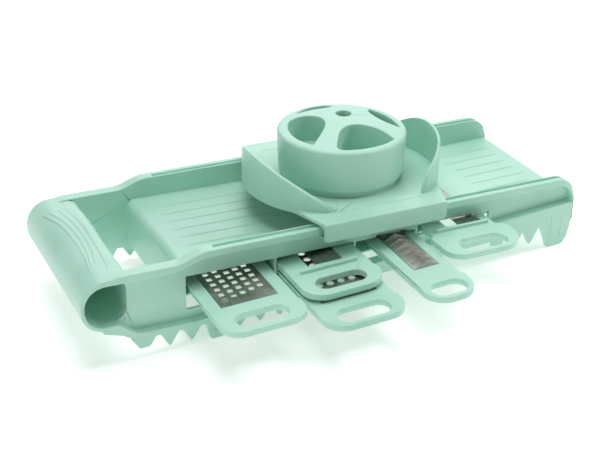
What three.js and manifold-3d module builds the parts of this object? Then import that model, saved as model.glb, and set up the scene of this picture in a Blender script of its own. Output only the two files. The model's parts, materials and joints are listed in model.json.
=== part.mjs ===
// Mandoline slicer with a sliding food holder, a working insert and four stored inserts.
// Millimetres, +Z up. The board leans: its rails fall towards +X, and everything that
// belongs to it is modelled in the board's own frame, with Z = 0 at the top of the rails.
import * as THREE from 'three';
import { mergeVertices } from 'three/addons/utils/BufferGeometryUtils.js';
import Module from 'manifold-3d';

const wasm = await Module();
wasm.setup();

// ---- driving dimensions -------------------------------------------------------------
const boardTilt = THREE.MathUtils.degToRad(2.7); // rails fall this much towards +X
const boardRise = 62.5; // rail top above the table at the middle of the board

const gripEnd = -186; // outer face of the grip
const gripTop = -7.1;
const boardEnd = 190; // far end of the rails
const railOut = 65; // half width over the rails
const wallOut = 59; // outer face of the recessed side wall
const wallIn = 56.4; // half width of the trough between the rails
const rimDepth = 5.2; // rail and rim flange thickness
const grooveMiddle = 59.4; // the rail groove, from the board's middle
const grooveWidth = 3.6;
const grooveDepth = 2;
const railStart = -94; // the rail groove starts here
const railBend = 15; // radius of the rail's drooping end
const flangeT = 2; // lower flange thickness
const apronT = 2.4; // the toothed apron under the lower flange
const deckT = 2;
const deckStart = -115; // front wall of the deck, at the hand hole
const slotLeft = 63.6; // working slot in the deck
const slotRight = 115.2;
const bayWalls = [-48.5, 11.4, 60.2]; // walls between the storage bays
const bayBottom = -34; // lower end of the walls between the storage bays

const insertT = 4.5; // insert frame thickness
const insertLength = 112; // frame length behind the handle, the full width of the trough
const steelT = 0.8;
const gap = 0.3; // clearance between touching pieces

const carriageX = 29; // middle of the carriage and of the food holder
const carriageHalf = 47; // half length of the carriage along the rails
const carriageOut = 72; // half width over the skirts
const plateTop = 5.2;
const skirtBottom = -8.3;
const guardRadius = 62;
const guardOffset = 10; // guard arcs are centred this far either side of the holder
const guardRise = 28.6;
// Half spans of a guard's crest towards -Y and +Y, and how full each half is: 0.5 is an ellipse.
const leftGuard = { near: 56.5, nearFullness: 0.68, far: 43, farFullness: 0.7 };
const rightGuard = { near: 54, nearFullness: 0.3, far: 43, farFullness: 0.7 };
const openingRadius = 40.6; // food opening
const holderRadius = 46.2;
const holderTop = 40.5;
const holderBottom = 9.7;
const pinCount = 8;

// ---- materials ----------------------------------------------------------------------
const mint = 0xa9dbc6;
const plastic = () => new THREE.MeshStandardMaterial({ color: mint, roughness: 0.42, metalness: 0 });
const steelMaterial = () => new THREE.MeshStandardMaterial({
  color: 0xa9a49b, roughness: 0.3, metalness: 1,
});

// ---- solids -------------------------------------------------------------------------
function toSolid(geometry) {
  const bare = geometry.clone();
  bare.deleteAttribute('normal');
  bare.deleteAttribute('uv');
  const merged = mergeVertices(bare, 1e-4);
  return new wasm.Manifold(new wasm.Mesh({
    numProp: 3,
    vertProperties: new Float32Array(merged.attributes.position.array),
    triVerts: new Uint32Array(merged.index.array),
  }));
}

function toGeometry(solid) {
  const { vertProperties, triVerts } = solid.getMesh();
  const geometry = new THREE.BufferGeometry();
  geometry.setAttribute('position', new THREE.BufferAttribute(vertProperties, 3));
  geometry.setIndex(new THREE.BufferAttribute(triVerts, 1));
  geometry.computeVertexNormals();
  return geometry;
}

const join = (solids) => solids.reduce((whole, next) => whole.add(next));
const cut = (solid, tools) => tools.reduce((rest, tool) => rest.subtract(tool), solid);

function block(x0, x1, y0, y1, z0, z1) {
  const box = new THREE.BoxGeometry(x1 - x0, y1 - y0, z1 - z0);
  return box.translate((x0 + x1) / 2, (y0 + y1) / 2, (z0 + z1) / 2);
}

// A shape drawn in X and Y, raised from z0 to z1.
function raised(shape, z0, z1, segments = 6) {
  const options = { depth: z1 - z0, bevelEnabled: false, curveSegments: segments };
  return new THREE.ExtrudeGeometry(shape, options).translate(0, 0, z0);
}

// A shape drawn in X and Z, running across the board from y0 to y1.
function across(shape, y0, y1, segments = 6) {
  return raised(shape, 0, y1 - y0, segments).rotateX(Math.PI / 2).translate(0, y1, 0);
}

// A shape drawn in Y and Z, running along the board from x0 to x1.
function along(shape, x0, x1, segments = 6) {
  const turn = new THREE.Matrix4().makeBasis(
    new THREE.Vector3(0, 1, 0), new THREE.Vector3(0, 0, 1), new THREE.Vector3(1, 0, 0));
  return raised(shape, 0, x1 - x0, segments).applyMatrix4(turn).translate(x0, 0, 0);
}

const sorted = (a, b) => [Math.min(a, b), Math.max(a, b)];
const outline = (points) => new THREE.Shape(points.map(([a, b]) => new THREE.Vector2(a, b)));

function drum(radius, z0, z1, sides = 48) {
  return new THREE.CylinderGeometry(radius, radius, z1 - z0, sides)
    .rotateX(Math.PI / 2).translate(0, 0, (z0 + z1) / 2);
}

// Rectangle x0..x1, y0..y1 with its four corner radii: left-low, right-low, right-high, left-high.
function roundedShape(x0, x1, y0, y1, [leftLow, rightLow, rightHigh, leftHigh]) {
  const s = new THREE.Shape();
  s.moveTo(x0 + leftLow, y0);
  s.lineTo(x1 - rightLow, y0);
  s.absarc(x1 - rightLow, y0 + rightLow, rightLow, -Math.PI / 2, 0);
  s.lineTo(x1, y1 - rightHigh);
  s.absarc(x1 - rightHigh, y1 - rightHigh, rightHigh, 0, Math.PI / 2);
  s.lineTo(x0 + leftHigh, y1);
  s.absarc(x0 + leftHigh, y1 - leftHigh, leftHigh, Math.PI / 2, Math.PI);
  s.lineTo(x0, y0 + leftLow);
  s.absarc(x0 + leftLow, y0 + leftLow, leftLow, Math.PI, 1.5 * Math.PI);
  return s;
}

// ---- frames -------------------------------------------------------------------------
const boardMatrix = new THREE.Matrix4()
  .makeRotationY(boardTilt).setPosition(0, 0, boardRise);
const levelMatrix = new THREE.Matrix4().makeTranslation(0, 0, boardRise);
// Turns a solid that lies level with the table into the board's frame.
const levelInBoard = boardMatrix.clone().invert().multiply(levelMatrix);
const level = (geometry) => geometry.applyMatrix4(levelInBoard);

// ---- board profile ------------------------------------------------------------------
const lerp = (t, a, b) => a + (b - a) * t;
const smooth = THREE.MathUtils.smoothstep;

// Top of the rim and rail along the board: low at the grip, an easy S up to the rail, then
// a rounded droop at the far end.
function railTop(x) {
  const bend = Math.max(0, x - (boardEnd - railBend));
  const droop = railBend - Math.sqrt(railBend ** 2 - bend ** 2);
  const sink = Math.max(0, -160 - x) * 0.2; // the rim's end dips into the grip
  return -6 * (1 - smooth(x, -122, -99)) - droop - sink;
}

// Underside of the side wall: deep at the grip, shallow at the far end.
function flangeLine(x) {
  if (x < -150) return lerp((x + 172) / 22, -43.5, -50.5);
  if (x < -110) return lerp((x + 150) / 40, -50.5, -51);
  if (x < 129) return lerp((x + 110) / 239, -51, -24.6);
  return lerp((x - 129) / 61, -24.6, -20);
}

// Free lower edge of the apron between the teeth.
const apronLine = (x) => (x < -110 ? -55.2 : lerp((x + 110) / 270, -55.2, -36.5));

const deckTop = (x) => (x < 90
  ? lerp((x - deckStart) / (slotLeft - deckStart), -15, -17.2)
  : lerp((x - slotRight) / (boardEnd - slotRight), -18.4, -16.5));

const steps = (x0, x1, count) => Array.from({ length: count + 1 }, (_, i) => lerp(i / count, x0, x1));

// Stations where the rim's outline bends.
const rimStations = [-168, -160, ...steps(-122, -99, 6), ...steps(boardEnd - railBend, boardEnd, 5)];
const flangeStations = [-172, -150, -110, 129, boardEnd];

// Band of the given thickness under a line z(x).
function band(stations, line, thickness, y0, y1) {
  const top = stations.map((x) => [x, line(x)]);
  const low = stations.map((x) => [x, line(x) - thickness]).reverse();
  return across(outline([...top, ...low]), y0, y1);
}

// A line level with the table, at the given height over it.
const levelLine = (height) => (x) => (
  height - boardRise + x * Math.sin(boardTilt)) / Math.cos(boardTilt);

// Teeth and feet of one side: [middle, half width at the root, half width at the tip,
// height of the tip over the table].
const teeth = [
  [-144.5, 9, 4.6, 7.2], [-127, 7, 1.6, 3.9], [-111.5, 7, 1.6, 3.7],
  [-93.5, 8.5, 5, 0],
  [-77, 7, 1.6, 4.5], [-62.2, 7, 1.6, 4.2], [-47.4, 7, 1.6, 4.5],
  [125.5, 7, 1.6, 7.2], [140.2, 7, 1.6, 7], [154.1, 7, 1.6, 7.5],
];
const endFoot = [162.5, 169.6, 183.4]; // the foot under the far end: root, then both ends of its tip

function apron(y0, y1) {
  const top = [-158, ...flangeStations.slice(1)].map((x) => [x, flangeLine(x) - 1]);
  const low = [boardEnd, -110, -150].map((x) => [x, apronLine(x)]);
  const sheet = toSolid(across(outline([...top, ...low, [-158, -50.4]]), y0, y1));
  const round = 1.2;
  const floor = levelLine(0);
  const [root, heel, toe] = endFoot;
  const end = outline([
    [root, apronLine(root) + 1], [heel - 1, floor(heel) + 3.4], [heel, floor(heel) + 1.4],
    [heel + 1.4, floor(heel + 1.4)], [toe - 2, floor(toe - 2)], [toe + 0.6, floor(toe) + 1],
    [toe + 4, floor(toe) + 6], [boardEnd - 1, floor(boardEnd) + 13],
    [boardEnd, floor(boardEnd) + 20], [boardEnd, apronLine(boardEnd) + 1]]);
  return join([sheet, toSolid(across(end, y0, y1)), ...teeth.map(([x, width, tip, height]) => {
    const base = apronLine(x) + 1;
    const low = levelLine(height);
    return toSolid(across(outline([
      [x - width, base], [x - tip, low(x) + round], [x - tip + round, low(x - tip + round)],
      [x + tip - round, low(x + tip - round)], [x + tip, low(x) + round], [x + width, base],
    ]), y0, y1));
  })]);
}

function sideOf(sign) {
  const y = (a, b) => sorted(sign * a, sign * b);
  const rim = band(rimStations, railTop, rimDepth, ...y(wallIn, railOut));
  const wallTop = rimStations.slice(1).map((x) => [x, railTop(x) - 3]);
  const wallLow = flangeStations.slice(1).reverse().map((x) => [x, flangeLine(x)]);
  const wall = across(outline([...wallTop, ...wallLow, [-160, -46], [-160, -12]]), ...y(wallIn, wallOut));
  const sweep = across(gripFoot(), ...y(wallIn, railOut), 8);
  const flange = band(flangeStations, flangeLine, flangeT, ...y(wallIn, railOut));
  const parts = [rim, wall, flange, sweep].map(toSolid);
  return join([...parts, apron(...y(railOut - apronT, railOut))]);
}

// Bore of the grip, open at both ends.
const boreShape = () => roundedShape(gripEnd + 2.6, -153.8, -40.9, railTop(-150) - rimDepth,
  [13.5, 9.5, 8, 14]);

// Hollow grip across the near end. Beyond the side walls its inner side is cut away, so the
// bore opens into the recess between rim and flange.
function grip() {
  const outer = roundedShape(gripEnd, -151, -43.5, gripTop, [16, 12, 7, 17]);
  const recess = outline([
    [-161.8, railTop(-150) - rimDepth], [-163.3, -40.9], [-149, -48.2],
    [-149, railTop(-150) - rimDepth]]);
  const sides = [-1, 1].map((s) => toSolid(across(recess, ...sorted(s * wallOut, s * (railOut + 1)))));
  return cut(toSolid(across(outer, -railOut, railOut, 10)), sides);
}

// Fillet that carries the underside of the grip into the lower flange.
function gripFoot() {
  const foot = new THREE.Shape();
  foot.moveTo(-172, -42);
  foot.lineTo(-163.3, -40.9);
  foot.bezierCurveTo(-157, -41, -155, -50, -146, flangeLine(-146) + 0.05);
  foot.lineTo(-146, flangeLine(-146) - flangeT);
  foot.lineTo(-160, flangeLine(-160) - flangeT);
  foot.lineTo(-172, -44.6);
  return foot;
}

function leftDeck() {
  const r = 6;
  const skin = new THREE.Shape();
  skin.moveTo(deckStart, -49);
  skin.lineTo(deckStart, deckTop(deckStart) - r);
  skin.absarc(deckStart + r, deckTop(deckStart) - r, r, Math.PI, Math.PI / 2, true);
  skin.lineTo(slotLeft, deckTop(slotLeft));
  skin.lineTo(slotLeft, -26);
  skin.lineTo(slotLeft - 1.6, -26);
  skin.lineTo(slotLeft - 1.6, deckTop(slotLeft) - deckT);
  skin.lineTo(deckStart + r, deckTop(deckStart) - deckT);
  skin.absarc(deckStart + r, deckTop(deckStart) - r, r - deckT, Math.PI / 2, Math.PI);
  skin.lineTo(deckStart + deckT, -49);
  return toSolid(across(skin, -wallIn - 0.6, wallIn + 0.6, 4));
}

function rightDeck() {
  const z0 = deckTop(slotRight);
  const z1 = deckTop(boardEnd);
  return toSolid(across(outline([
    [slotRight, -26], [slotRight + 1.6, -26], [slotRight + 1.6, z0 - deckT],
    [boardEnd - 1.8, z1 - deckT], [boardEnd - 1.8, -27], [boardEnd, -27],
    [boardEnd, z1 - 1.2], [boardEnd - 1.2, z1], [slotRight, z0],
  ]), -wallIn - 0.6, wallIn + 0.6));
}

// ---- inserts ------------------------------------------------------------------------
// Each insert is drawn about its own origin: X across its width, Y = 0 where the handle
// starts, the frame running to +Y and the handle to -Y, Z = 0 at its top face.
// hole is the finger hole, opening the gap right through the frame, steel the metal.
const inserts = {
  coarse: {
    x: -83, y: -92.5, top: -22.2, width: 58, handle: 33.2, round: [14, 14], shoulder: -11,
    hole: [-18.8, 18.2, -28.6, -12], opening: [-18, 18, 2, 92], steel: [-19.7, 19.7, 0, 94],
  },
  thick: {
    x: -19.7, y: -78.6, top: -20.8, width: 57, handle: 33, round: [15, 17], shoulder: -11,
    bar: 42, hole: [-18.2, 18.3, -26.4, -11.6], opening: [-12.2, 0, 6, 92], steel: [-6, 13, 6, 94],
  },
  fine: {
    x: -19.7, y: -109.5, top: -27.4, width: 57, handle: 32.4, round: [15, 15], shoulder: -11,
    hole: [-18.8, 18.8, -28.8, -12], opening: [-18, 18, 2, 92], steel: [-19.7, 19.7, 0, 94],
  },
  julienne: {
    x: 40.2, y: -105, top: -24, width: 35.2, handle: 41.6, round: [15, 15], shoulder: -17,
    hole: [-12.4, 13.6, -37.8, -21.6], opening: [-7, 8.3, 2, 92], steel: [-8.8, 10.3, 0, 94],
  },
  working: {
    x: 89.4, y: -71, top: -17.6, width: 50.4, handle: 37, round: [13, 19], bar: 42,
    wide: [-28.4, 32.6], hole: [-15.8, 21.2, -33.4, -16.4], opening: [-9.5, 3.5, 4, 96],
    steel: [0.2, 18.2, 4, 96],
  },
};
const barDepth = 2.6; // stop bar across the slicing inserts
const barRise = 2.4;
const catchOut = 1.3; // the handle stands this far proud of the frame on its right
const fingerRound = 7.8; // corner radius of a finger hole
const gableRise = 3.6; // height of the gables on the julienne strip
const rivetEnds = 9; // rivets sit this far inside the blade's ends
const rivetInset = 4;

const grown = ([x0, x1, y0, y1], d) => [x0 - d, x1 + d, y0 - d, y1 + d];
const plateBox = ([x0, x1, y0, y1], z0, z1) => block(x0, x1, y0, y1, z0, z1);
const rivetPlaces = ([, x1, y0, y1]) => [y0 + rivetEnds, y1 - rivetEnds].map(
  (y) => [x1 - rivetInset, y]);

// Frame of an insert: handle with a finger hole, a seat for the steel, side grooves for the
// runners, and on the slicing inserts a stop bar.
function insertFrame(insert) {
  const { width, handle, round, shoulder, hole, opening, steel, bar, wide } = insert;
  const half = width / 2;
  const slab = wide
    ? join([
      toSolid(raised(roundedShape(-half, half, -12, insertLength, [2, 2, 3, 3]), -insertT, 0)),
      toSolid(raised(roundedShape(...wide, -handle, -5,
        [...round, wide[1] - half, -half - wide[0]]), -insertT, 0))])
    : join([
      toSolid(raised(roundedShape(-half, half, shoulder - 3, insertLength, [0.5, 0.5, 3, 3]),
        -insertT, 0)),
      toSolid(raised(roundedShape(-half, half + catchOut, -handle, shoulder,
        [...round, catchOut, 0.5]), -insertT, 0))]);
  const finger = Math.min(fingerRound, (hole[3] - hole[2]) / 2 - 0.1);
  const frame = cut(slab, [
    toSolid(raised(roundedShape(...hole, Array(4).fill(finger)), -insertT - 1, 1, 6)),
    toSolid(plateBox(opening, -insertT - 1, 1)),
    toSolid(plateBox(grown(steel, gap), -steelT - gap, 1)),
    ...[-1, 1].map((s) => toSolid(block(
      ...sorted(s * (half + 1), s * (half - 1)), 10, insertLength + 1, -2.9, -1.7))),
    ...(bar ? rivetPlaces(steel) : []).map(
      ([x, y]) => toSolid(drum(1.5, -insertT - 1, 0, 12).translate(x, y, 0))),
  ]);
  if (!bar) return frame;
  return frame.add(toSolid(block(-bar / 2, bar / 2, -barDepth, 0, -1, barRise)));
}

// Steel sheet with slanted rows of holes, each with a raised cutting lip on its right.
function graterPlate([x0, x1, y0, y1], { sides, radius, pitchX, pitchY, skew }) {
  const holes = [];
  const lips = [];
  const columns = Math.floor((x1 - x0 - 4) / pitchX);
  const rows = Math.floor((y1 - y0 - 6 - Math.abs(skew) * columns) / pitchY);
  const flat = radius * Math.cos(Math.PI / sides);
  for (let c = 0; c < columns; c += 1) {
    for (let r = 0; r < rows; r += 1) {
      const x = (x0 + x1) / 2 + (c - (columns - 1) / 2) * pitchX;
      const y = (y0 + y1) / 2 + (r - (rows - 1) / 2) * pitchY + (c - (columns - 1) / 2) * skew;
      holes.push(new THREE.CylinderGeometry(radius, radius, 4, sides)
        .rotateX(Math.PI / 2).rotateZ(Math.PI / sides).translate(x, y, 0));
      lips.push(across(outline([[flat - 0.2, -0.3], [flat + 0.9, -0.3], [flat - 0.2, 0.6]]),
        -flat, flat).translate(x, y, 0));
    }
  }
  const sheet = toSolid(block(x0, x1, y0, y1, -steelT, 0));
  return cut(join([sheet, ...lips.map(toSolid)]), holes.map(toSolid));
}

// Slicing blade: a flat sheet whose left edge is ground to a bevel.
function blade(steel) {
  const [x0, x1, y0, y1] = steel;
  const sheet = toSolid(across(outline([
    [x0, -steelT], [x1, -steelT], [x1, 0], [x0 + 2.4, 0], [x0, -steelT + 0.15],
  ]), y0, y1));
  return cut(sheet, rivetPlaces(steel).map(([x, y]) => toSolid(drum(1.5, -2, 1, 12).translate(x, y, 0))));
}

// Steel rivet through the blade and its seat.
function rivet() {
  return join([toSolid(drum(2.3, 0.2, 0.65, 12)), toSolid(drum(1.1, -insertT + 0.4, 0.5, 12))]);
}

// Folded strip of the julienne insert: a row of pointed gables on a flat sheet.
function toothedStrip([x0, x1, y0, y1], count) {
  const pitch = (y1 - y0) / count;
  const half = (x1 - x0) / 2;
  const gables = Array.from({ length: count }, (_, i) => toSolid(
    new THREE.ConeGeometry(Math.SQRT2, gableRise + 0.2, 4, 1).rotateX(Math.PI / 2)
      .rotateZ(Math.PI / 4).scale(half - 0.5, pitch / 2, 1)
      .translate((x0 + x1) / 2, y0 + (i + 0.5) * pitch, gableRise / 2 - 0.1)));
  return join([toSolid(block(x0, x1, y0, y1, -steelT, 0)), ...gables]);
}

// ---- body ---------------------------------------------------------------------------
// Ledges under a level insert, reaching out from the bay walls at xLeft and xRight.
function runners({ x, width, top }, xLeft, xRight, thickness) {
  const z = top - insertT - gap;
  const inner = width / 2 - 3;
  return [[xLeft - 1.6, x - inner], [x + inner, xRight]].map(
    ([x0, x1]) => toSolid(level(block(x0, x1, -wallOut, wallIn + 0.6, z - thickness, z))));
}

function body() {
  const grooves = [-1, 1].map((s) => s * grooveMiddle).map((y) => toSolid(block(
    railStart, boardEnd - 7, y - grooveWidth / 2, y + grooveWidth / 2, -grooveDepth, 3)));
  const nearWall = [-wallOut - 0.4, -wallIn + 0.4];
  const lastWall = bayWalls[2];
  const bayMouth = toSolid(across(outline([
    [deckStart + deckT, -19.3], [deckStart + deckT, -44], [bayWalls[0], -43],
    [lastWall - 0.8, flangeLine(lastWall - 0.8)], [lastWall - 0.8, -19.3],
  ]), ...nearWall));
  const { x: stripX, steel: strip } = inserts.julienne; // the gables pass under here
  const gableRoom = toSolid(block(stripX + strip[0] - 3, stripX + strip[1] + 2,
    -wallOut - 1, wallIn - 4, -23, -17.9));
  const slotMouth = toSolid(block(lastWall + 1, slotRight + 5, ...nearWall, -24.4, -16.6));
  const bore = toSolid(across(boreShape(), -railOut - 1, railOut + 1, 10));
  const shell = join([sideOf(-1), sideOf(1), grip(), leftDeck(), rightDeck()]);
  const walls = bayWalls.map((x) => toSolid(block(
    x - 0.8, x + 0.8, -wallOut, wallIn + 0.6, bayBottom, deckTop(x) - 1)));
  const ledge = inserts.working.top - insertT - gap;
  const slotLedges = [[slotLeft - 1, slotLeft + 3], [slotRight - 3, slotRight + 1]].map(
    ([x0, x1]) => toSolid(block(x0, x1, -wallIn - 1, wallIn + 1, ledge - 1.5, ledge)));
  return join([
    cut(shell, [...grooves, bore, bayMouth, gableRoom, slotMouth]),
    ...walls,
    ...runners(inserts.coarse, deckStart + 1, bayWalls[0], 1.4),
    ...runners(inserts.thick, bayWalls[0], bayWalls[1], 1),
    ...runners(inserts.fine, bayWalls[0], bayWalls[1], 1.4),
    ...runners(inserts.julienne, bayWalls[1], bayWalls[2], 1.4),
    ...slotLedges,
  ]);
}

// ---- carriage -----------------------------------------------------------------------
const plateLow = plateTop - 2.8;

// Plate with a round lobe each side of the holder, eased into the straight edges.
function carriagePlate() {
  const lobes = [-1, 1].map((s) => toSolid(
    drum(guardRadius, plateLow, plateTop, 72).translate(s * guardOffset, 0, 0)));
  const easing = new THREE.Shape();
  const y0 = 40;
  const x0 = guardOffset + Math.sqrt(guardRadius ** 2 - y0 ** 2) - 0.4;
  easing.moveTo(-x0, -y0);
  easing.lineTo(x0, -y0);
  easing.bezierCurveTo(x0 - 3.2, -y0 - 10, carriageHalf + 2, -62, carriageHalf, -carriageOut);
  easing.lineTo(-carriageHalf, -carriageOut);
  easing.bezierCurveTo(-carriageHalf - 2, -62, -x0 + 3.2, -y0 - 10, -x0, -y0);
  const near = toSolid(raised(easing, plateLow, plateTop, 6));
  const far = toSolid(raised(easing, plateLow, plateTop, 6).rotateZ(Math.PI));
  const rides = [-1, 1].map((s) => toSolid(block(
    -carriageHalf, carriageHalf, ...sorted(s * 57.5, s * carriageOut), gap, plateTop)));
  const middle = toSolid(block(-carriageHalf, carriageHalf, -50, 50, plateLow, plateTop));
  return join([middle, ...lobes, near, far, ...rides]);
}

// Skirt outside each rail with a lip hooked under the rail flange, its lower corners round.
function skirt(side) {
  const [x0, x1] = [-carriageHalf, carriageHalf];
  const sheet = (low, high, y) => toSolid(across(
    roundedShape(x0, x1, low, high, [2.4, 2.4, 0.2, 0.2]),
    ...sorted(side * y, side * carriageOut), 4));
  return join([sheet(skirtBottom, plateTop, 69.4), toSolid(across(
    roundedShape(x0, x1, skirtBottom, -rimDepth - 0.7, [2.3, 2.3, 0.1, 0.1]),
    ...sorted(side * 62.5, side * carriageOut), 4))]);
}

// Finger guard: a curved wall standing on the lobe, its top a low dome across the board.
function guard(side, { near, nearFullness, far, farFullness }) {
  const top = plateTop + guardRise + 2;
  const ring = cut(toSolid(drum(guardRadius, plateLow, top, 72).translate(side * guardOffset, 0, 0)),
    [toSolid(drum(guardRadius - 2.2, 0, top + 2, 72).translate(side * guardOffset, 0, 0))]);
  const crest = steps(-Math.PI / 2, Math.PI / 2, 26).map((turn) => {
    const [span, fullness] = turn < 0 ? [near, nearFullness] : [far, farFullness];
    return [span * Math.sin(turn), plateTop + guardRise * Math.cos(turn) ** (2 * fullness)];
  });
  const dome = outline([[-near, 0], ...crest, [far, 0]]);
  return ring.intersect(toSolid(along(dome, ...sorted(side * 28, side * 80))));
}

function carriage() {
  const collar = toSolid(drum(openingRadius + 1.8, plateTop - 1, holderBottom + 1.2));
  const opening = toSolid(drum(openingRadius, -2, holderBottom + 4));
  const guards = [guard(-1, leftGuard), guard(1, rightGuard)];
  return cut(join([carriagePlate(), skirt(-1), skirt(1), ...guards, collar]), [opening]);
}

// ---- food holder --------------------------------------------------------------------
const pocketFloor = holderTop - 20;
const eyeX = 13; // small round hole in the holder's top
const eyeY = 23;
const sleeveRadius = openingRadius - 0.6;

// Closed curve through a list of points that starts and ends at a sharp tip.
function leaf(tip, points) {
  const shape = new THREE.Shape();
  shape.moveTo(...tip);
  shape.splineThru([...points, tip].map((p) => new THREE.Vector2(...p)));
  return shape;
}

// Finger pockets in the holder's top, drawn about the holder's middle.
const pockets = [
  leaf([-32.5, -20.5], [[-12, 4], [-6, 16], [-7, 25], [-17, 29.5], [-29.5, 24.5], [-37, 10], [-38, -6]]),
  leaf([24.5, -33], [
    [23.5, -15], [17, -2], [7, 1.8], [-3, -4.5], [-12, -18], [-19, -33], [-8, -39], [10, -39]]),
  leaf([38.5, -16], [[40, 4], [34.5, 22], [31.5, 17], [33, 0]]),
  leaf([-19, 36], [[-5, 38], [11, 38], [5, 42], [-8, 41.5]]),
];

// The same outline grown outwards by d along its normals.
function offsetShape(shape, d) {
  const points = shape.getPoints(3).slice(0, -1);
  const outward = THREE.ShapeUtils.area(points) > 0 ? d : -d;
  return new THREE.Shape(points.map((p, i) => {
    const before = points[(i + points.length - 1) % points.length];
    const after = points[(i + 1) % points.length];
    const normal = new THREE.Vector2(after.y - before.y, before.x - after.x).normalize();
    return p.clone().addScaledVector(normal, outward);
  }));
}

function turned(profile, sides) {
  return toSolid(new THREE.LatheGeometry(profile.map(([r, z]) => new THREE.Vector2(r, z)), sides)
    .rotateX(Math.PI / 2));
}

// Cap: a drafted drum, open below, with hollow finger pockets and a small round hole.
function holderCap() {
  const R = holderRadius;
  const shell = turned([[0, holderTop - 3], [R - 2.2, holderTop - 3], [R - 3.3, holderBottom],
    [R - 1.5, holderBottom], [R, holderTop - 2.4], [R - 0.7, holderTop - 0.7],
    [R - 2.4, holderTop], [0, holderTop]], 48);
  const wallLow = pocketFloor - 1.6;
  const linings = pockets.map((shape) => toSolid(
    raised(offsetShape(shape, 1.5), wallLow, holderTop - 1, 3)));
  const hub = toSolid(drum(7.4, wallLow, holderTop - 1, 20).translate(eyeX, eyeY, 0));
  const holes = pockets.map((shape) => toSolid(raised(shape, pocketFloor, holderTop + 1, 3)));
  const eye = toSolid(drum(5.8, wallLow - 1, holderTop + 1, 24).translate(eyeX, eyeY, 0));
  return cut(join([shell, ...linings, hub]), [...holes, eye]);
}

const pinPlaces = Array.from({ length: pinCount }, (_, i) => {
  const angle = ((i + 0.5) * 2 * Math.PI) / pinCount;
  const radius = i % 2 ? 27 : 15;
  return [radius * Math.cos(angle), radius * Math.sin(angle)];
});

// Core under the cap: a sleeve that runs in the collar, closed below by the pin plate.
function holderCore() {
  const r = sleeveRadius;
  const collarTop = holderBottom + 1.2;
  const sleeve = turned([[0, -6], [r, -6], [r, collarTop + gap], [r + 2, collarTop + gap],
    [r + 2, collarTop + 2], [r, collarTop + 2], [r, pocketFloor - 2.2], [r - 2, pocketFloor - 2.2],
    [r - 2, -3.6], [0, -3.6]], 48);
  return cut(sleeve, pinPlaces.map(([x, y]) => toSolid(drum(0.95, -8, 0, 8).translate(x, y, 0))));
}

// Steel pin with a flat head on the pin plate.
function foodPin() {
  return turned([[0, -13.2], [0.65, -11], [0.65, -3.3], [1.5, -3.3], [1.5, -2.5], [0, -2.5]], 8);
}

// ---- assembly -----------------------------------------------------------------------
function named(name, solid, material, x = 0, y = 0, z = 0) {
  const mesh = new THREE.Mesh(toGeometry(solid), material);
  mesh.name = name;
  mesh.position.set(x, y, z);
  return mesh;
}

const board = new THREE.Group();
board.applyMatrix4(boardMatrix);
const stored = new THREE.Group();
stored.applyMatrix4(levelMatrix);

function addInsert(group, name, insert, metalName, metalSolid) {
  const { x, y, top, steel, bar } = insert;
  group.add(named(`${name}_frame`, insertFrame(insert), plastic(), x, y, top));
  group.add(named(metalName, metalSolid, steelMaterial(), x, y, top));
  if (!bar) return;
  rivetPlaces(steel).forEach(([dx, dy], i) => group.add(named(
    `${name}_rivet_${i + 1}`, rivet(), steelMaterial(), x + dx, y + dy, top)));
}

board.add(named('body', body(), plastic()));
board.add(named('carriage', carriage(), plastic(), carriageX));
board.add(named('holder_cap', holderCap(), plastic(), carriageX));
board.add(named('holder_core', holderCore(), plastic(), carriageX));
pinPlaces.forEach(([x, y], i) => board.add(
  named(`food_pin_${i + 1}`, foodPin(), steelMaterial(), carriageX + x, y)));
addInsert(board, 'slicer_insert', inserts.working, 'slicer_blade', blade(inserts.working.steel));
addInsert(stored, 'thick_slicer_insert', inserts.thick, 'thick_slicer_blade', blade(inserts.thick.steel));
addInsert(stored, 'coarse_grater_insert', inserts.coarse, 'coarse_grater_plate',
  graterPlate(inserts.coarse.steel, { sides: 4, radius: 2.7, pitchX: 6.9, pitchY: 7.1, skew: 1.85 }));
addInsert(stored, 'fine_grater_insert', inserts.fine, 'fine_grater_plate',
  graterPlate(inserts.fine.steel, { sides: 8, radius: 2.6, pitchX: 8, pitchY: 9, skew: 0 }));
addInsert(stored, 'julienne_insert', inserts.julienne, 'julienne_strip',
  toothedStrip(inserts.julienne.steel, 13));

// The origin is the middle of the underside of the whole slicer's box.
const slicer = new THREE.Group();
slicer.add(board, stored);
slicer.updateMatrixWorld(true);
const size = new THREE.Box3().setFromObject(slicer, true);
slicer.position.set(-(size.min.x + size.max.x) / 2, -(size.min.y + size.max.y) / 2, -size.min.z);

export default slicer;
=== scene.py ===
# Looks for the mandoline slicer: moulded plastic shells with soft edges, ribs, grip lines
# and moulding marks, and brushed steel for the blades. Lengths in the dictionaries are
# millimetres; mm() turns them into metres.
import json
import math

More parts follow.
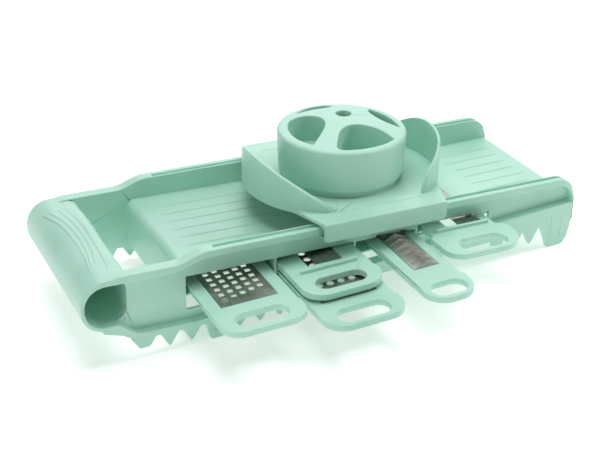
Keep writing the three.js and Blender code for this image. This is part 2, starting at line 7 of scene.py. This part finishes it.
import bmesh
import bpy
import numpy as np
from mathutils import Euler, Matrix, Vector


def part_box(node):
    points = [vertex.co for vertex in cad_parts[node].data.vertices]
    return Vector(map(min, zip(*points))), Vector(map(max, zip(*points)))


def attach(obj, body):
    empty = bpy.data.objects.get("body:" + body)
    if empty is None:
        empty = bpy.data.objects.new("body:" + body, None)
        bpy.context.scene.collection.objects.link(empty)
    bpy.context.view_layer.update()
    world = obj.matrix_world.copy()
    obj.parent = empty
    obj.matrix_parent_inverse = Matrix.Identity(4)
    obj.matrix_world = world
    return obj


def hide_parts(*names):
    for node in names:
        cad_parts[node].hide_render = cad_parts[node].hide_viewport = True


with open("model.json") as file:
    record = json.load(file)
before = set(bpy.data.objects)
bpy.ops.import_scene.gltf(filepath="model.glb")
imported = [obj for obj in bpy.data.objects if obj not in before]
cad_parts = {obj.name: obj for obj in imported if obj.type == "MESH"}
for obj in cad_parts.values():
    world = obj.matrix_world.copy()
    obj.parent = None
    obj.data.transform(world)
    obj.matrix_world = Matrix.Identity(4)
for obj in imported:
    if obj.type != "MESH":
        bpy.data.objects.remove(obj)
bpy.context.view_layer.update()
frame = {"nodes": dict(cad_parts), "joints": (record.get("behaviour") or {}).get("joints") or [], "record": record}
print("frame loaded:", len(frame["nodes"]), "nodes")


def mm(value):
    return np.asarray(value, float) / 1000 if np.ndim(value) else value / 1000


# The board leans: its own frame has z = 0 on top of the rails, x along the board and
# y = 0 on its middle line. The carriage's slide runs along it.
slideAxis = next(j for j in frame["joints"] if j["name"] == "carriage_slide")["axis"]
bodyLow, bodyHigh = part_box("body")
board = {
    "tilt": math.atan2(-slideAxis[2], slideAxis[0]),
    "x": -1.0,                                    # the board's middle, from the origin
    "y": (bodyLow.y + bodyHigh.y) * 500,
    "rise": 62.5,                                 # rail top above the table
}


def onBoard(points):
    # turned by the tilt about Y, then lifted: x' = x cos t + z sin t, z' = z cos t - x sin t
    x, y, z = np.moveaxis(np.asarray(points, float), -1, 0)
    c, s = math.cos(board["tilt"]), math.sin(board["tilt"])
    turned = (x * c + z * s + board["x"], y + board["y"], z * c - x * s + board["rise"])
    return np.stack(turned, axis=-1)


# Colour and material helpers.

def srgb(text):
    # sRGB hex to linear: ((c + 0.055) / 1.055) ^ 2.4 above 0.04045, c / 12.92 below
    c = np.array([int(text[i:i + 2], 16) for i in (1, 3, 5)]) / 255
    linear = np.where(c > 0.04045, ((c + 0.055) / 1.055) ** 2.4, c / 12.92)
    return (*linear.tolist(), 1.0)


def addNode(tree, kind, settings=None, **links):
    # settings name either a property of the node or one of its inputs
    node = tree.nodes.new(kind)
    for key, value in (settings or {}).items():
        if hasattr(node, key):
            setattr(node, key, value)
        else:
            node.inputs[key].default_value = value
    for key, socket in links.items():
        tree.links.new(socket, node.inputs[key.replace("_", " ")])
    return node


def newMaterial(name, **shader):
    material = bpy.data.materials.new(name)
    material.use_nodes = True
    principled = material.node_tree.nodes["Principled BSDF"]
    for key, value in shader.items():
        principled.inputs[key.replace("_", " ")].default_value = value
    return material, material.node_tree, principled


def ramp(tree, fac, stops):
    node = addNode(tree, "ShaderNodeValToRGB", Fac=fac)
    node.color_ramp.elements[0].position, node.color_ramp.elements[0].color = stops[0]
    node.color_ramp.elements[1].position, node.color_ramp.elements[1].color = stops[-1]
    for position, colour in stops[1:-1]:
        node.color_ramp.elements.new(position).color = colour
    return node


mintPlastic = {
    "colour": "#B2DECE", "deep": "#A9D8C6", "pale": "#BAE3D3",
    "roughness": 0.36,
    "cloudSize": 60,        # faint flow marks of the melt
    "grainSize": 0.9,       # texture of the mould's spark-eroded steel, drawn coarse to show
    "grainDepth": 0.012,
}


def mouldedPolypropylene(spec=mintPlastic):
    # Injection-moulded polypropylene: waxy, slightly see-through, with a soft broad gloss.
    material, tree, shader = newMaterial(
        "moulded_polypropylene", Roughness=spec["roughness"], IOR=1.49,
        Subsurface_Weight=0.25, Subsurface_Scale=0.004, Specular_IOR_Level=0.45)
    shader.inputs["Subsurface Radius"].default_value = (0.6, 1.0, 0.8)
    place = addNode(tree, "ShaderNodeTexCoord").outputs["Object"]
    cloud = addNode(tree, "ShaderNodeTexNoise", {
        "Scale": 1000 / spec["cloudSize"], "Detail": 3.0, "Roughness": 0.45}, Vector=place)
    colour = ramp(tree, cloud.outputs["Fac"], [
        (0.3, srgb(spec["deep"])), (0.5, srgb(spec["colour"])), (0.7, srgb(spec["pale"]))])
    grain = addNode(tree, "ShaderNodeTexNoise", {
        "Scale": 1000 / spec["grainSize"], "Detail": 2.0}, Vector=place)
    gloss = addNode(tree, "ShaderNodeMapRange", {
        "From Min": 0.35, "From Max": 0.65,
        "To Min": spec["roughness"] - 0.04, "To Max": spec["roughness"] + 0.06},
        Value=cloud.outputs["Fac"])
    bump = addNode(tree, "ShaderNodeBump", {
        "Strength": 0.25, "Distance": spec["grainDepth"] / 1000}, Height=grain.outputs["Fac"])
    tree.links.new(colour.outputs["Color"], shader.inputs["Base Color"])
    tree.links.new(gloss.outputs["Result"], shader.inputs["Roughness"])
    tree.links.new(bump.outputs["Normal"], shader.inputs["Normal"])
    return material


steelSheet = {
    "colour": "#B3ADA5", "dark": "#958E86", "light": "#CBC7C1",
    "roughness": 0.34,
    "lineWidth": 0.25,      # brushing lines, drawn coarse to show
    "lineLength": 40,
    "lineDepth": 0.006,
    "smearSize": 11.111,    # wiped patches, a little duller
}


def brushedStainless(name, spec=steelSheet):
    # Cold-rolled stainless sheet, brushed along Y: fine lines that stretch the highlight.
    material, tree, shader = newMaterial(
        name, Metallic=1.0, Roughness=spec["roughness"], Anisotropic=0.4)
    place = addNode(tree, "ShaderNodeTexCoord").outputs["Object"]
    fine, coarse = 1000 / spec["lineWidth"], 1000 / spec["lineLength"]
    stretched = addNode(
        tree, "ShaderNodeMapping", {"Scale": (fine, coarse, fine)}, Vector=place)
    lines = addNode(tree, "ShaderNodeTexNoise", {
        "Scale": 1.0, "Detail": 3.0}, Vector=stretched.outputs["Vector"])
    smear = addNode(tree, "ShaderNodeTexNoise", {
        "Scale": 1000 / spec["smearSize"], "Detail": 2.0}, Vector=place)
    colour = ramp(tree, lines.outputs["Fac"], [
        (0.3, srgb(spec["dark"])), (0.5, srgb(spec["colour"])), (0.72, srgb(spec["light"]))])
    gloss = addNode(tree, "ShaderNodeMapRange", {
        "From Min": 0.3, "From Max": 0.7,
        "To Min": spec["roughness"] - 0.08, "To Max": spec["roughness"] + 0.1},
        Value=smear.outputs["Fac"])
    bump = addNode(tree, "ShaderNodeBump", {
        "Strength": 0.35, "Distance": spec["lineDepth"] / 1000}, Height=lines.outputs["Fac"])
    tree.links.new(colour.outputs["Color"], shader.inputs["Base Color"])
    tree.links.new(gloss.outputs["Result"], shader.inputs["Roughness"])
    tree.links.new(bump.outputs["Normal"], shader.inputs["Normal"])
    return material


mint = mouldedPolypropylene()
steel = brushedStainless("brushed_stainless")
# A lighter copy of the brushed stainless for the julienne strip. Its paler colours are painted brightness,
# standing in for reflections the strip does not get from the dim surroundings.
brightenedStainless = brushedStainless("stainless_painted_brighter", steelSheet | {
    "colour": "#D2CEC8", "dark": "#B4AFA8", "light": "#E6E4E0", "roughness": 0.42})


# Mesh helpers.

def newPiece(name, mesh, material, body):
    piece = bpy.data.objects.new(name, mesh)
    bpy.context.scene.collection.objects.link(piece)
    mesh.materials.clear()
    mesh.materials.append(material)
    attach(piece, body)
    return piece


edgeFinish = {
    "segments": 3,
    "sharpAngle": 32,       # only edges that turn more than this are rounded
    "flatAngle": 0.4,       # faces that turn less than this are one face
    "sliver": 0.05,
}


def softEdges(piece, width, spec=edgeFinish):
    bevel = piece.modifiers.new("softEdges", "BEVEL")
    bevel.width = mm(width)
    bevel.segments = spec["segments"]
    bevel.limit_method = "ANGLE"
    bevel.angle_limit = math.radians(spec["sharpAngle"])
    bevel.use_clamp_overlap = False
    bevel.miter_outer = "MITER_ARC"
    weighted = piece.modifiers.new("evenShading", "WEIGHTED_NORMAL")
    weighted.weight = 60
    weighted.keep_sharp = True


def mergedCopy(node, merge, spec=edgeFinish):
    # the CAD node's triangles joined up within the merge distance, slivers gone
    mesh = bpy.data.meshes.new(node + "_shell")
    work = bmesh.new()
    work.from_mesh(frame["nodes"][node].data)
    bmesh.ops.remove_doubles(work, verts=work.verts, dist=mm(merge))
    bmesh.ops.dissolve_degenerate(work, dist=mm(spec["sliver"]), edges=work.edges)
    bmesh.ops.dissolve_limit(
        work, angle_limit=math.radians(spec["flatAngle"]), verts=work.verts, edges=work.edges)
    bmesh.ops.triangulate(work, faces=work.faces, quad_method="BEAUTY", ngon_method="BEAUTY")
    work.to_mesh(mesh)
    work.free()
    mesh.polygons.foreach_set("use_smooth", np.full(len(mesh.polygons), True))
    return mesh


bodyOf = {n: b for b, members in frame["record"]["behaviour"]["bodies"].items() for n in members}


def moulded(node, width, merge):
    piece = newPiece(node + "_shell", mergedCopy(node, merge), mint, bodyOf[node])
    softEdges(piece, width)
    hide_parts(node)


def gridPiece(name, patches, material, body, smooth=True):
    # Each patch is a grid of (rows, columns, 3) points in millimetres, in the row frame;
    # its face normals are (next row - this row) x (next column - this column).
    vertices, faces, first = [], [], 0
    for points in patches:
        rows, columns = points.shape[:2]
        index = first + np.arange(rows * columns).reshape(rows, columns)
        quads = np.stack([index[:-1, :-1], index[1:, :-1], index[1:, 1:], index[:-1, 1:]], axis=-1)
        vertices.append(points.reshape(-1, 3))
        faces.append(quads.reshape(-1, 4))
        first += rows * columns
    mesh = bpy.data.meshes.new(name)
    mesh.from_pydata(
        mm(np.concatenate(vertices)).tolist(), [], np.concatenate(faces).tolist())
    mesh.polygons.foreach_set("use_smooth", np.full(len(mesh.polygons), smooth))
    return newPiece(name, mesh, material, body)


def raisedLine(path, up, width, height, taper=2.0, sink=0.12):
    # A low rounded ridge along a path: across it the height is h (1 - v^2) for v in -1..1,
    # and it tapers to nothing over the first and last few millimetres.
    path = np.asarray(path, float)
    up = np.broadcast_to(np.asarray(up, float), path.shape)
    along = np.gradient(path, axis=0)
    side = np.cross(along, up)
    side /= np.linalg.norm(side, axis=1, keepdims=True)
    run = np.concatenate([[0], np.cumsum(np.linalg.norm(np.diff(path, axis=0), axis=1))])
    ends = np.clip(np.minimum(run, run[-1] - run) / taper, 0, 1)
    ends = np.sqrt(ends * (2 - ends))[:, None, None]
    v = np.linspace(1, -1, 9)[None, :, None]
    lift = (height + sink) * (1 - v ** 2) * ends - sink
    return path[:, None] + side[:, None] * (v * width / 2) + up[:, None] * lift


def smoothPath(knots, count):
    # Catmull-Rom curve through the knots, sampled evenly in its parameter.
    knots = np.asarray(knots, float)
    knots = np.concatenate([[2 * knots[0] - knots[1]], knots, [2 * knots[-1] - knots[-2]]])
    t = np.linspace(0, len(knots) - 3 - 1e-6, count)
    k = t.astype(int)
    f = (t - k)[:, None]
    a, b, c, d = knots[k], knots[k + 1], knots[k + 2], knots[k + 3]
    return b + f / 2 * (c - a + f * (2 * a - 5 * b + 4 * c - d + f * (3 * (b - c) + d - a)))


# Shells.

shells = {
    # node: radius of its edges, and how close together corners are joined up
    "body": (0.5, 0.05), "carriage": (0.55, 0.3),
    "holder_cap": (0.7, 0.05), "holder_core": (0.4, 0.05),
    "slicer_insert_frame": (0.4, 0.05), "thick_slicer_insert_frame": (0.35, 0.05),
    "coarse_grater_insert_frame": (0.4, 0.05), "fine_grater_insert_frame": (0.4, 0.05),
    "julienne_insert_frame": (0.4, 0.05),
}
for node, (width, merge) in shells.items():
    moulded(node, width, merge)
print("plastic shells made")

for node, item in frame["nodes"].items():
    if node not in shells:
        item.data.materials.clear()
        item.data.materials.append(steel)


# Deck ribs: food slides over these, so it does not cling to the decks.
deckRibs = {
    "first": 37.5, "pitch": 12.5, "count": 7,       # across the board
    "left": (-102, 58), "right": (133, 181),        # from and to along the board
    "width": 2.0, "height": 0.6, "taper": 9,
}

# The decks are straight slopes, broken by the working slot.
deckSlopes = {
    "left": {"from": -115, "length": 178.6, "height": -15, "climb": -2.2},
    "right": {"from": 115.2, "length": 74.8, "height": -18.4, "climb": 1.9},
}


def deckHeight(x, side):
    spec = deckSlopes[side]
    return spec["height"] + (x - spec["from"]) / spec["length"] * spec["climb"]


def makeDeckRibs(spec=deckRibs):
    patches = []
    for number in range(spec["count"]):
        y = spec["first"] - spec["pitch"] * number
        for side in deckSlopes:
            x = np.linspace(*spec[side], 40)
            path = np.stack([x, np.full_like(x, y), deckHeight(x, side)], axis=-1)
            patches.append(onBoard(raisedLine(
                path, (0, 0, 1), spec["width"], spec["height"], spec["taper"])))
    gridPiece("deck_ribs", patches, mint, "body")


makeDeckRibs()
print("deck ribs made")


# Grip: flat on top, rolling over outside outerFrom and inside innerFrom.
gripShape = {
    "top": -7.1, "outerFrom": -169, "outerRadius": 17, "innerFrom": -158, "innerRadius": 7,
}

# Flowing finger lines on its top draw together toward -Y, and a soft roll of bumps runs
# along the edge of the hand hole.
gripLines = {
    "lines": (
        ((-178, 46), (-172.5, 24), (-170.5, 0), (-170.5, -24), (-173, -50)),
        ((-173.5, 45), (-168.5, 24), (-166.5, 2), (-167.5, -22), (-171, -44)),
        ((-168, 46), (-164.2, 26), (-162.6, 4), (-163.6, -20), (-167.5, -42)),
        ((-162.5, 46), (-160, 28), (-158.8, 8), (-159.5, -20), (-161.5, -50)),
    ),
    "width": 2.4, "height": 0.5, "taper": 14,
}

gripRoll = {
    "from": 44, "to": -2,                   # across the board
    "bumps": 4, "height": 1.0, "proud": 0.15,
    "sink": 0.1,                            # how far its ends lie inside the grip
    "turn": (98, -40),                      # degrees round the edge
}


def gripTop(x, spec=gripShape):
    # the drop is r - sqrt(r^2 - d^2) at a distance d past where each edge's roll begins
    drop = 0
    for radius, past in (
            (spec["outerRadius"], spec["outerFrom"] - x),
            (spec["innerRadius"], x - spec["innerFrom"])):
        past = np.clip(past, 0, radius - 0.1)
        drop = drop + (radius - np.sqrt(radius ** 2 - past ** 2))
    return spec["top"] - drop


def makeGripLines(spec=gripLines):
    patches = []
    for knots in spec["lines"]:
        flat = smoothPath(knots, 60)
        path = np.concatenate([flat, gripTop(flat[:, :1])], axis=1)
        patches.append(onBoard(raisedLine(
            path, (0, 0, 1), spec["width"], spec["height"], spec["taper"])))
    patches.append(onBoard(rollOfBumps()))
    gridPiece("grip_lines", patches, mint, "body")


def rollOfBumps(spec=gripRoll, grip=gripShape):
    # An arc round the inner edge's centre; its radius is the edge's, plus h sin^2(n pi t)
    # along the edge, which fades out where the arc begins and at both ends of the edge.
    t = np.linspace(0, 1, 97)[:, None]
    turn = np.radians(np.linspace(*spec["turn"], 15))[None, :]
    fade = np.sin(np.radians(spec["turn"][0]) - turn).clip(0)
    end = np.sin(np.pi * t) ** 0.5
    swell = spec["height"] * np.sin(spec["bumps"] * np.pi * t) ** 2
    radius = grip["innerRadius"] - spec["sink"] + (spec["proud"] + swell * fade) * end
    x = grip["innerFrom"] + radius * np.cos(turn)
    y = spec["from"] + t * (spec["to"] - spec["from"]) + 0 * turn
    z = grip["top"] - grip["innerRadius"] + radius * np.sin(turn)
    return np.stack([x, y, z], axis=-1)[::-1]


makeGripLines()
print("grip lines made")


# U-shaped moulding marks on the outside of the four feet.
footMark = {
    "marks": (
        {"middle": -93.5, "half": 2.42, "top": -46, "bottom": -61},
        {"middle": 176.6, "half": 4.4, "top": -28, "bottom": -46.5},
    ),
    "round": 1.2, "width": 0.75, "height": 0.3, "taper": 1, "face": 65,
}


def makeFootMarks(spec=footMark):
    # The outline goes down the right leg, round its corner, and back as its mirror image.
    patches = []
    turn = np.linspace(0, np.pi / 2, 6)
    r = spec["round"]
    for mark in spec["marks"]:
        half, low = mark["half"], mark["bottom"]
        z = np.linspace(mark["top"], low + 2 * r, 12)
        leg = np.stack([np.full_like(z, half), z], axis=-1)
        corner = np.stack([half - r + r * np.cos(turn), low + r - r * np.sin(turn)], axis=-1)
        right = np.concatenate([leg, corner])
        outline = np.concatenate([right, right[::-1] * (-1, 1)])
        for side in (-1, 1):
            y = np.full(len(outline), side * spec["face"])
            path = np.stack([mark["middle"] + outline[:, 0], y, outline[:, 1]], axis=-1)
            patches.append(onBoard(raisedLine(
                path, (0, side, 0), spec["width"], spec["height"], spec["taper"])))
    gridPiece("foot_marks", patches, mint, "body")


makeFootMarks()


# Low ridges along the straight edges of the carriage's plate.
plateRidge = {
    "place": 57.4, "from": -10, "to": 68, "top": 5.2,
    "width": 1.1, "height": 0.35, "taper": 5,
}


def makePlateRidges(spec=plateRidge):
    x = np.linspace(spec["from"], spec["to"], 30)
    patches = []
    for side in (-1, 1):
        path = np.stack([
            x, np.full_like(x, side * spec["place"]), np.full_like(x, spec["top"])], axis=-1)
        patches.append(onBoard(raisedLine(
            path, (0, 0, 1), spec["width"], spec["height"], spec["taper"])))
    gridPiece("plate_ridges", patches, mint, "carriage")


makePlateRidges()
print("moulding marks made")


# Julienne strip: folded steel, a row of half tents that open toward -Y.
julienneStrip = {
    "count": 13, "rise": 3.5, "inset": 0.5, "thick": 0.8,
    "lean": 1.1,            # how far a tent's ridge is set back from its feet
    "fall": 0.86,           # part of its height that a tent loses toward its far end
    "lap": 0.6,             # how far it runs in under the next one
    "room": 3.6,            # from the sheet to the top of its box
    "lift": 0.02,           # keeps the tents' feet off the sheet
}


def makeJulienneStrip(spec=julienneStrip):
    low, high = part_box("julienne_strip")
    x0, x1, y0, y1 = (1000 * v for v in (low.x, high.x, low.y, high.y))
    top = 1000 * high.z - spec["room"]
    pitch = (y1 - y0) / spec["count"]
    # each tent: full height at its -Y end, falling to the sheet at its far end
    t = np.linspace(0, 1, 5)[:, None]
    v = np.linspace(-1, 1, 9)[None, :]
    half = (x1 - x0) / 2 - spec["inset"]
    patches = []
    for number in range(spec["count"]):
        start = y0 + number * pitch
        ridge = 1 - np.abs(v)
        z = top + spec["rise"] * ridge * (1 - spec["fall"] * t) + spec["lift"]
        y = np.minimum(start + t * (pitch + spec["lap"]) + spec["lean"] * ridge, y1)
        x = (x0 + x1) / 2 + half * v + 0 * t
        roof = np.stack([x, y, z], axis=-1)
        patches.append(roof[::-1])
        foot = roof[0] * (1, 1, 0) + (0, 0, top)
        foot[:, 1] = start
        patches.append(np.stack([foot, roof[0]])[::-1])
    base = top - spec["thick"]
    corners = np.array([(x0, y0), (x1, y0), (x1, y1), (x0, y1), (x0, y0)], float)
    middle = 0 * corners + ((x0 + x1) / 2, (y0 + y1) / 2)
    slab = [np.concatenate([flat, np.full((5, 1), z)], axis=1) for flat, z in (
        (middle, top), (corners, top), (corners, base), (middle, base))]
    patches.append(np.stack(slab[::-1]))
    piece = gridPiece("folded_strip", patches, brightenedStainless, "julienne_insert", False)
    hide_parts("julienne_strip")


makeJulienneStrip()
print("julienne strip made")


# Studio.

studio = {
    "floorSize": 6000, "floorColour": "#F6F6F5", "floorGlow": 0.42,
    "worldColour": "#FFFFFF", "worldStrength": 0.25,
}


def makeStudio(spec=studio):
    size = spec["floorSize"]
    edge = np.array([-size, size]) / 2
    x, y = np.meshgrid(edge, edge, indexing="ij")
    grid = np.stack([x, y, np.zeros_like(x)], axis=-1)
    mesh = bpy.data.meshes.new("floor")
    mesh.from_pydata(mm(grid.reshape(-1, 3)).tolist(), [], [(0, 2, 3, 1)])
    floor = bpy.data.objects.new("floor", mesh)
    bpy.context.scene.collection.objects.link(floor)
    material, tree, shader = newMaterial(
        "white_acrylic_light_table", Roughness=0.8, Base_Color=srgb(spec["floorColour"]),
        Emission_Color=srgb(spec["floorColour"]), Emission_Strength=spec["floorGlow"])
    mesh.materials.append(material)
    world = bpy.data.worlds.new("studio")
    world.use_nodes = True
    background = world.node_tree.nodes["Background"]
    background.inputs["Color"].default_value = srgb(spec["worldColour"])
    background.inputs["Strength"].default_value = spec["worldStrength"]
    bpy.context.scene.world = world


lamps = {
    # name: place, size, watts; each faces the object
    "overhead": {"place": (0, 100, 1300), "size": 900, "watts": 9},
    "back": {"place": (500, 1100, 700), "size": 1300, "watts": 5},
    "right": {"place": (1150, -200, 750), "size": 500, "watts": 5.5},
    "left": {"place": (-1200, -300, 500), "size": 700, "watts": 2.6},
}


def makeLamps():
    target = Vector((0, 0, mm(40)))
    for name, spec in lamps.items():
        light = bpy.data.lights.new(name, "AREA")
        light.shape = "DISK"
        light.size = mm(spec["size"])
        light.energy = spec["watts"]
        lamp = bpy.data.objects.new(name, light)
        lamp.location = mm(spec["place"])
        lamp.rotation_euler = (target - lamp.location).to_track_quat("-Z", "Y").to_euler()
        bpy.context.scene.collection.objects.link(lamp)


viewpoint = {
    "place": (-354.1, -730.2, 484.7),
    "tilt": 61.742, "roll": -1.632, "yaw": -24.468,
    "lens": 79.157, "sensor": 36,
}


def makeCamera(spec=viewpoint):
    data = bpy.data.cameras.new("camera")
    data.lens = spec["lens"]
    data.sensor_width = spec["sensor"]
    data.clip_start = 0.01
    camera = bpy.data.objects.new("camera", data)
    camera.location = mm(spec["place"])
    turns = Euler((math.radians(spec["tilt"]), 0, math.radians(spec["yaw"]))).to_matrix()
    roll = Euler((0, 0, math.radians(spec["roll"]))).to_matrix()
    camera.rotation_euler = (turns @ roll).to_euler()
    bpy.context.scene.collection.objects.link(camera)
    bpy.context.scene.camera = camera


makeStudio()
makeLamps()
makeCamera()
bpy.context.scene.view_settings.view_transform = "Standard"
print("studio made")
